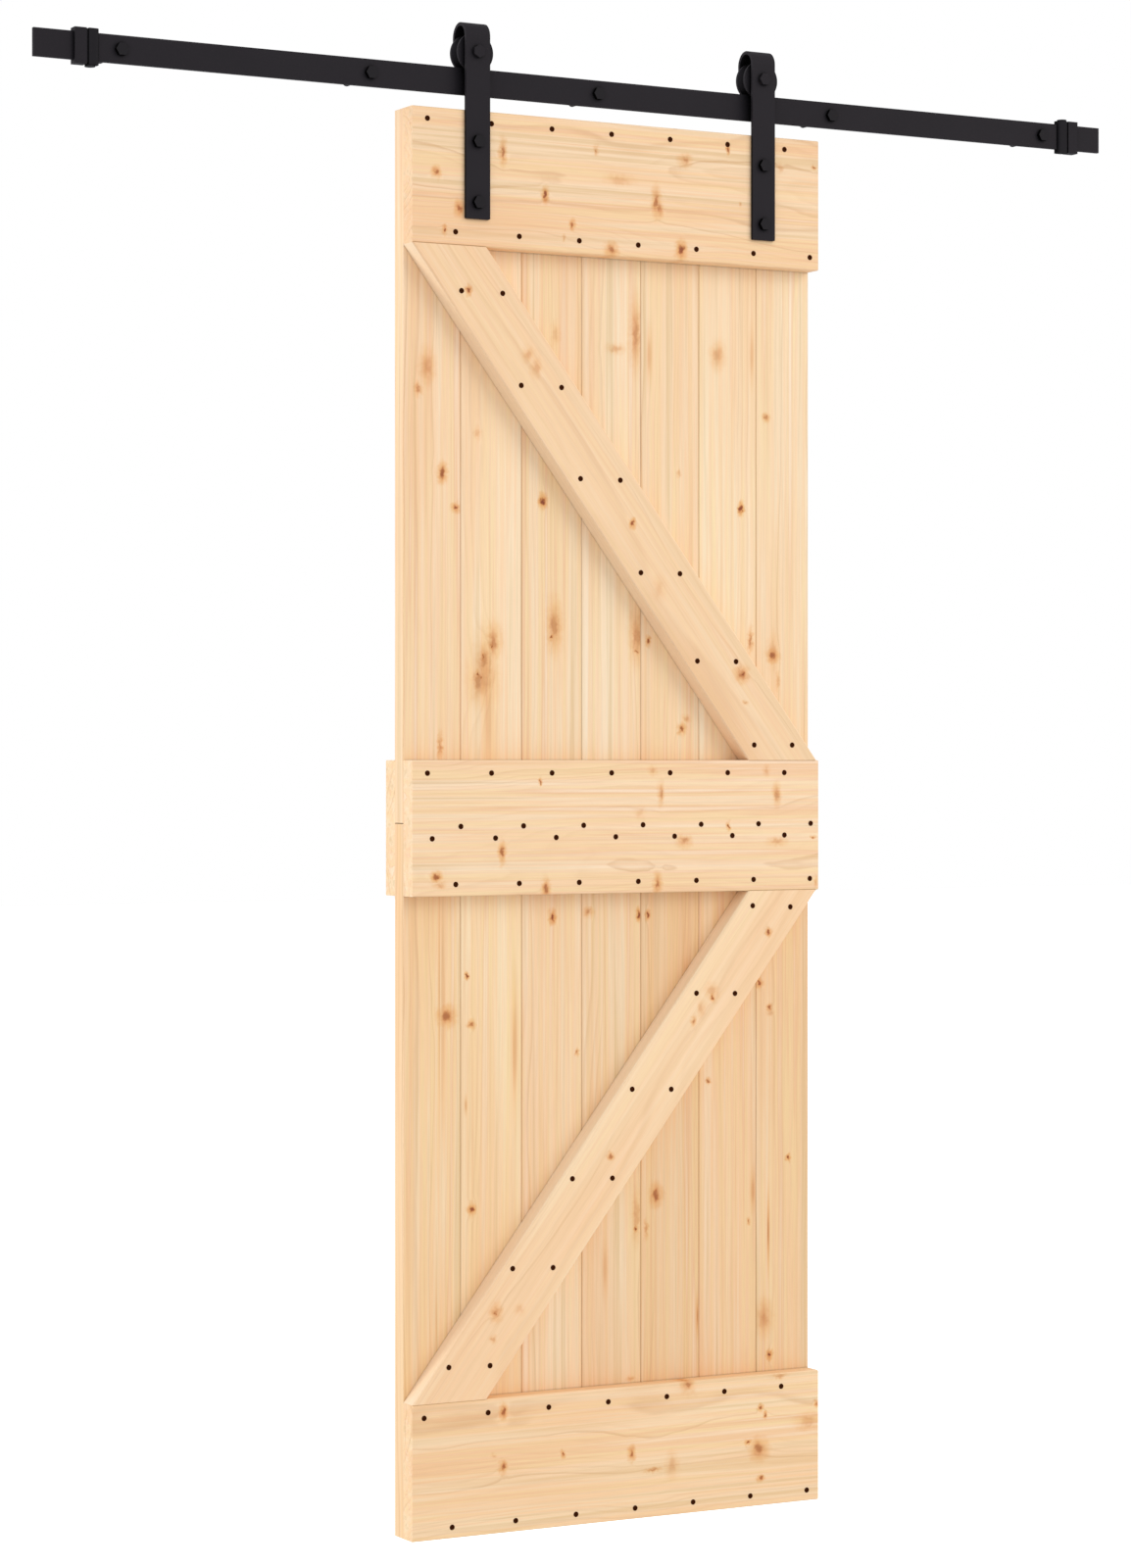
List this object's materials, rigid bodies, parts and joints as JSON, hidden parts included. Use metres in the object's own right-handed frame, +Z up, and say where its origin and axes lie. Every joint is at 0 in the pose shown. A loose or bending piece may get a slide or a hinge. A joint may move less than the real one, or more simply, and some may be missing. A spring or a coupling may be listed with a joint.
{
  "type": "sliding door",
  "caption": "Braced pine plank door leaf that hangs by strap hangers and grooved wheels from a flat black steel rail, with spacers and end stops.",
  "frame": {"origin": "wall end of the middle spacer, on the rail's centre line", "axes": "+X along the rail to the right as seen from the front, +Y into the wall, +Z up"},
  "size_m": [1.826, 0.1075, 2.2313],
  "materials": {
    "pine": "planed, clear matt oil",
    "black_steel": "matt black powder coat",
    "black_fasteners": "black zinc, matt",
    "bumper_rubber": "matt"
  },
  "bodies": {
    "track": {"left_stop_bumper": "bumper_rubber", "left_stop_clamp": "black_steel", "left_stop_screw": "black_fasteners", "rail": "black_steel", "rail_screws": "black_fasteners", "right_stop_bumper": "bumper_rubber", "right_stop_clamp": "black_steel", "right_stop_screw": "black_fasteners", "spacer_1": "black_steel", "spacer_2": "black_steel", "spacer_3": "black_steel", "spacer_4": "black_steel", "spacer_5": "black_steel"},
    "door": {"bottom_board": "pine", "left_axle_bolt": "black_fasteners", "left_hanger_strap": "black_steel", "left_strap_bolts": "black_fasteners", "lower_brace": "pine", "lower_plank_1": "pine", "lower_plank_2": "pine", "lower_plank_3": "pine", "lower_plank_4": "pine", "lower_plank_5": "pine", "lower_plank_6": "pine", "lower_plank_7": "pine", "middle_board": "pine", "rear_middle_board": "pine", "right_axle_bolt": "black_fasteners", "right_hanger_strap": "black_steel", "right_strap_bolts": "black_fasteners", "top_board": "pine", "upper_brace": "pine", "upper_plank_1": "pine", "upper_plank_2": "pine", "upper_plank_3": "pine", "upper_plank_4": "pine", "upper_plank_5": "pine", "upper_plank_6": "pine", "upper_plank_7": "pine"},
    "left_wheel_body": {"left_wheel": "black_steel"},
    "right_wheel_body": {"right_wheel": "black_steel"}
  },
  "joints": [
    {"name": "door_slide", "type": "slide", "parent": "track", "child": "door", "axis": [1, 0, 0], "range_m": [-0.5605, 0.5325]},
    {"name": "left_wheel_roll", "type": "hinge", "parent": "door", "child": "left_wheel_body", "pos_m": [-0.2125, -0.0795, 0.0423], "axis": [0, 1, 0], "range_deg": [-1460, 1390]},
    {"name": "right_wheel_roll", "type": "hinge", "parent": "door", "child": "right_wheel_body", "pos_m": [0.2805, -0.0795, 0.0423], "axis": [0, 1, 0], "range_deg": [-1460, 1390]}
  ],
  "couplings": [
    {"joint": "left_wheel_roll", "follows": "door_slide", "rad_per_m": 45.455},
    {"joint": "right_wheel_roll", "follows": "door_slide", "rad_per_m": 45.455}
  ]
}
